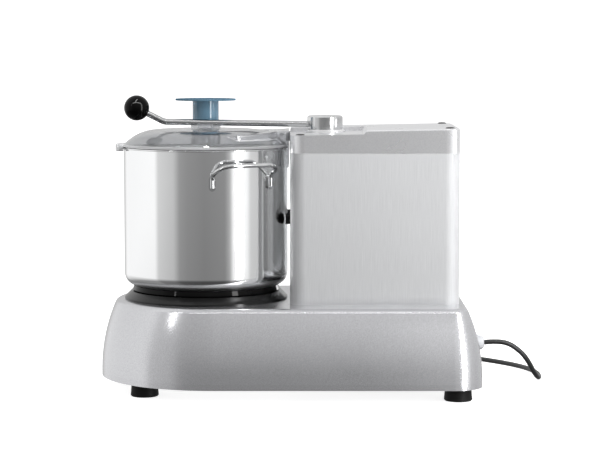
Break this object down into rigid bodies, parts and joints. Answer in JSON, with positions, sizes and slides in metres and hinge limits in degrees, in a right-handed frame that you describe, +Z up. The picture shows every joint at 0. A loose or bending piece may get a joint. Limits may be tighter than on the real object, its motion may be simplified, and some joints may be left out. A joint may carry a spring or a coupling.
{
  "type": "food processor",
  "caption": "Tabletop food processor with a lidded steel bowl, curved knives on a belt-driven shaft, a motor column and a swinging lid lever with a ball grip.",
  "frame": {"origin": "on the table, under the middle of the base casting", "axes": "+X runs along the base from the bowl to the motor column and the cord, +Y towards the control buttons, +Z up"},
  "size_m": [0.6326, 0.445, 0.4142],
  "materials": {
    "painted_casting": "bead-blasted casting, silver-grey",
    "satin_steel": "fine upright brushing",
    "polished_steel": "polished stainless steel",
    "blade_steel": "ground stainless steel",
    "sheet_steel": "plain sheet",
    "zinc_steel": "bright zinc",
    "motor_steel": "dark grey",
    "raw_casting": "as cast",
    "bronze": "sintered",
    "chrome_trim": "bright",
    "black_rubber": "matte",
    "cord_rubber": "smooth satin",
    "black_plastic": "satin",
    "black_gloss": "high gloss",
    "grey_plastic": "satin",
    "pale_plastic": "satin",
    "blue_plastic": "satin blue-grey",
    "clear_plastic": "clear polycarbonate",
    "green_plastic": "gloss",
    "red_plastic": "gloss"
  },
  "bodies": {
    "base": {"base_housing": "painted_casting", "bottom_cover": "sheet_steel", "rubber_feet": "black_rubber", "foot_screws": "zinc_steel", "seat_ring": "black_plastic", "bearing_housing": "raw_casting", "housing_bolts": "zinc_steel", "shaft_bearings": "zinc_steel", "shaft_seal": "black_rubber", "drive_belt": "black_rubber", "motor_housing": "motor_steel", "motor_flange": "raw_casting", "motor_bolts": "zinc_steel", "fan_cover": "motor_steel", "run_capacitor": "raw_casting", "contactor": "grey_plastic", "column_body": "satin_steel", "column_cap": "painted_casting", "cap_plugs": "black_plastic", "tie_rods": "zinc_steel", "hub_bush": "bronze", "lid_switch": "grey_plastic", "switch_bracket": "sheet_steel", "bowl_bumpers": "black_rubber", "control_panel": "sheet_steel", "button_bezels": "chrome_trim", "switch_blocks": "grey_plastic", "cable_gland": "pale_plastic", "power_cord": "cord_rubber", "cord_coil": "cord_rubber", "power_plug": "black_rubber"},
    "lever": {"lever_hub": "polished_steel", "hub_ring": "polished_steel", "lever_rod": "polished_steel", "ball_knob": "black_gloss", "lever_spindle": "zinc_steel", "spindle_nut": "zinc_steel", "rod_pad": "clear_plastic"},
    "lid_cover": {"lid": "clear_plastic", "lid_seal": "black_rubber", "lid_bracket": "clear_plastic", "lid_magnet": "black_plastic"},
    "food_pusher": {"pusher": "blue_plastic"},
    "work_bowl": {"bowl": "polished_steel", "bowl_base_ring": "black_plastic", "bowl_handles": "polished_steel"},
    "knives": {"drive_shaft": "zinc_steel", "driven_pulley": "raw_casting", "knife_hub": "black_plastic", "lower_blade": "blade_steel", "upper_blade": "blade_steel", "knife_cap": "black_plastic"},
    "motor": {"motor_rotor": "motor_steel", "motor_pulley": "raw_casting", "motor_fan": "black_plastic"},
    "start_key": {"start_button": "green_plastic"},
    "stop_key": {"stop_button": "red_plastic"},
    "pulse_key": {"pulse_button": "black_gloss"}
  },
  "joints": [
    {"name": "lever_swing", "type": "hinge", "parent": "base", "child": "lever", "pos_m": [0.0511, 0, 0.37], "axis": [0, 0, 1], "range_deg": [0, 105]},
    {"name": "lid_lift", "type": "slide", "parent": "base", "child": "lid_cover", "axis": [0, 0, 1], "range_m": [0, 0.0012]},
    {"name": "pusher_lift", "type": "slide", "parent": "lid_cover", "child": "food_pusher", "axis": [0, 0, 1], "range_m": [0, 0.07]},
    {"name": "bowl_twist", "type": "hinge", "parent": "base", "child": "work_bowl", "pos_m": [-0.117, 0, 0.14], "axis": [0, 0, 1], "range_deg": [-30, 0]},
    {"name": "knife_spin", "type": "hinge", "parent": "base", "child": "knives", "pos_m": [-0.117, 0, 0.11], "axis": [0, 0, 1], "continuous": true},
    {"name": "motor_spin", "type": "hinge", "parent": "base", "child": "motor", "pos_m": [0.1189, 0, 0.11], "axis": [0, 0, 1], "continuous": true},
    {"name": "start_press", "type": "slide", "parent": "base", "child": "start_key", "axis": [0, -0.9613, -0.2756], "range_m": [0, 0.003], "stiffness_N_per_m": 800},
    {"name": "stop_press", "type": "slide", "parent": "base", "child": "stop_key", "axis": [0, -0.9613, -0.2756], "range_m": [0, 0.003], "stiffness_N_per_m": 800},
    {"name": "pulse_press", "type": "slide", "parent": "base", "child": "pulse_key", "axis": [0, -0.9613, -0.2756], "range_m": [0, 0.003], "stiffness_N_per_m": 800}
  ],
  "couplings": [
    {"joint": "knife_spin", "follows": "motor_spin", "ratio": 0.66667}
  ]
}
